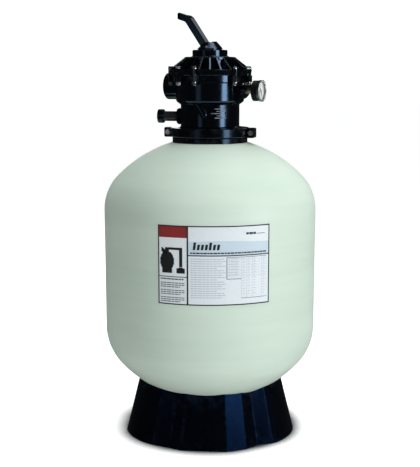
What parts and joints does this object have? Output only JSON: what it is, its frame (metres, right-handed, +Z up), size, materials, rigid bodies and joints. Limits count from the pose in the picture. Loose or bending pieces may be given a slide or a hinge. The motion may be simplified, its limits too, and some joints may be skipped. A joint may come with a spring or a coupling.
{
  "type": "sand filter tank",
  "caption": "Free-standing pool sand filter: round moulded tank on a fluted skirt base with a lever-operated multiport valve clamped on top, a side pressure gauge and a sight glass.",
  "frame": {"origin": "centre of the base on the floor", "axes": "+Z up along the tank, -Y out of the labelled front"},
  "size_m": [0.5329, 0.5334, 1.0515],
  "materials": {
    "tank_plastic": "semi-gloss moulded",
    "label_film": "satin printed film",
    "base_plastic": "satin moulded",
    "neck_plastic": "satin moulded",
    "valve_plastic": "semi-gloss moulded",
    "rotor_plastic": "moulded",
    "plate_plastic": "satin",
    "bolt_steel": "bright stainless",
    "spring_steel": "drawn wire",
    "washer_plastic": "natural acetal",
    "seal_rubber": "moulded",
    "smoked_clear": "smoked clear plastic",
    "gauge_black": "gloss enamel",
    "gauge_clear": "clear",
    "gauge_white": "matte enamel",
    "needle_black": "matte enamel",
    "gauge_brass": "turned",
    "pipe_white": "extruded pipe",
    "underdrain_black": "moulded"
  },
  "bodies": {
    "tank": {"base_skirt": "base_plastic", "bourdon_tube": "gauge_brass", "clamp_bolts": "bolt_steel", "clamp_half_front": "neck_plastic", "clamp_half_rear": "neck_plastic", "clamp_nuts": "bolt_steel", "clamp_washers": "bolt_steel", "diffuser": "underdrain_black", "drain_gasket": "seal_rubber", "drain_locknut": "valve_plastic", "drain_screen": "underdrain_black", "drain_spigot": "valve_plastic", "gauge_bezel": "gauge_clear", "gauge_case": "gauge_black", "gauge_dial": "gauge_white", "gauge_lens": "gauge_clear", "gauge_plate": "gauge_brass", "gauge_stem": "gauge_brass", "lateral_1": "underdrain_black", "lateral_2": "underdrain_black", "lateral_3": "underdrain_black", "lateral_4": "underdrain_black", "lateral_5": "underdrain_black", "lateral_6": "underdrain_black", "lateral_7": "underdrain_black", "lateral_8": "underdrain_black", "lateral_hub": "underdrain_black", "lid_bolts": "bolt_steel", "lid_nuts": "bolt_steel", "lid_seal": "seal_rubber", "lid_washers": "bolt_steel", "lift_spring": "spring_steel", "neck_flange": "neck_plastic", "neck_seal": "seal_rubber", "position_plate": "plate_plastic", "sight_cap": "valve_plastic", "sight_glass": "smoked_clear", "sight_seal": "seal_rubber", "spider_gasket": "seal_rubber", "spring_washer": "washer_plastic", "standpipe": "pipe_white", "standpipe_seal": "seal_rubber", "tank_label": "label_film", "tank_shell": "tank_plastic", "valve_body": "valve_plastic", "valve_lid": "valve_plastic"},
    "turning_washer": {"cam_washer": "washer_plastic"},
    "spindle": {"rotor": "rotor_plastic", "spindle_seals": "seal_rubber", "handle_pin": "bolt_steel"},
    "lever": {"handle": "valve_plastic"},
    "sector": {"gauge_sector": "gauge_brass"},
    "needle": {"gauge_needle": "needle_black", "gauge_pinion": "gauge_brass"},
    "cap_gasket": {"drain_cap_gasket": "seal_rubber"},
    "cap": {"drain_cap": "valve_plastic"}
  },
  "joints": [
    {"name": "selector_turn", "type": "hinge", "parent": "tank", "child": "turning_washer", "pos_m": [0, 0, 0.946], "axis": [0, 0, 1], "continuous": true},
    {"name": "spindle_lift", "type": "slide", "parent": "turning_washer", "child": "spindle", "axis": [0, 0, 1], "range_m": [0, 0.0052], "deforming": ["lift_spring"]},
    {"name": "handle_press", "type": "hinge", "parent": "spindle", "child": "lever", "pos_m": [0, 0, 0.966], "axis": [-0.3827, -0.9239, 0], "range_deg": [0, 25], "stiffness_Nm_per_rad": 6, "springref_deg": -20.05},
    {"name": "gauge_sector_swing", "type": "hinge", "parent": "tank", "child": "sector", "pos_m": [0.11488, -0.04876, 0.8435], "axis": [0.9205, -0.3907, 0], "range_deg": [0, 45], "stiffness_Nm_per_rad": 0.004, "springref_deg": -11.46},
    {"name": "gauge_needle_turn", "type": "hinge", "parent": "tank", "child": "needle", "pos_m": [0.11506, -0.04884, 0.861], "axis": [-0.9205, 0.3907, 0], "range_deg": [0, 270]},
    {"name": "drain_cap_travel", "type": "slide", "parent": "tank", "child": "cap_gasket", "axis": [0, 0.7071, -0.7071], "range_m": [0, 0.0151]},
    {"name": "drain_cap_turn", "type": "hinge", "parent": "cap_gasket", "child": "cap", "pos_m": [0, 0.2206, 0.1665], "axis": [0, 0.7071, -0.7071], "range_deg": [0, 1800]}
  ],
  "couplings": [
    {"joint": "spindle_lift", "follows": "handle_press", "m_per_rad": 0.01162},
    {"joint": "gauge_needle_turn", "follows": "gauge_sector_swing", "ratio": 6},
    {"joint": "drain_cap_travel", "follows": "drain_cap_turn", "m_per_rad": 0.00047746}
  ]
}
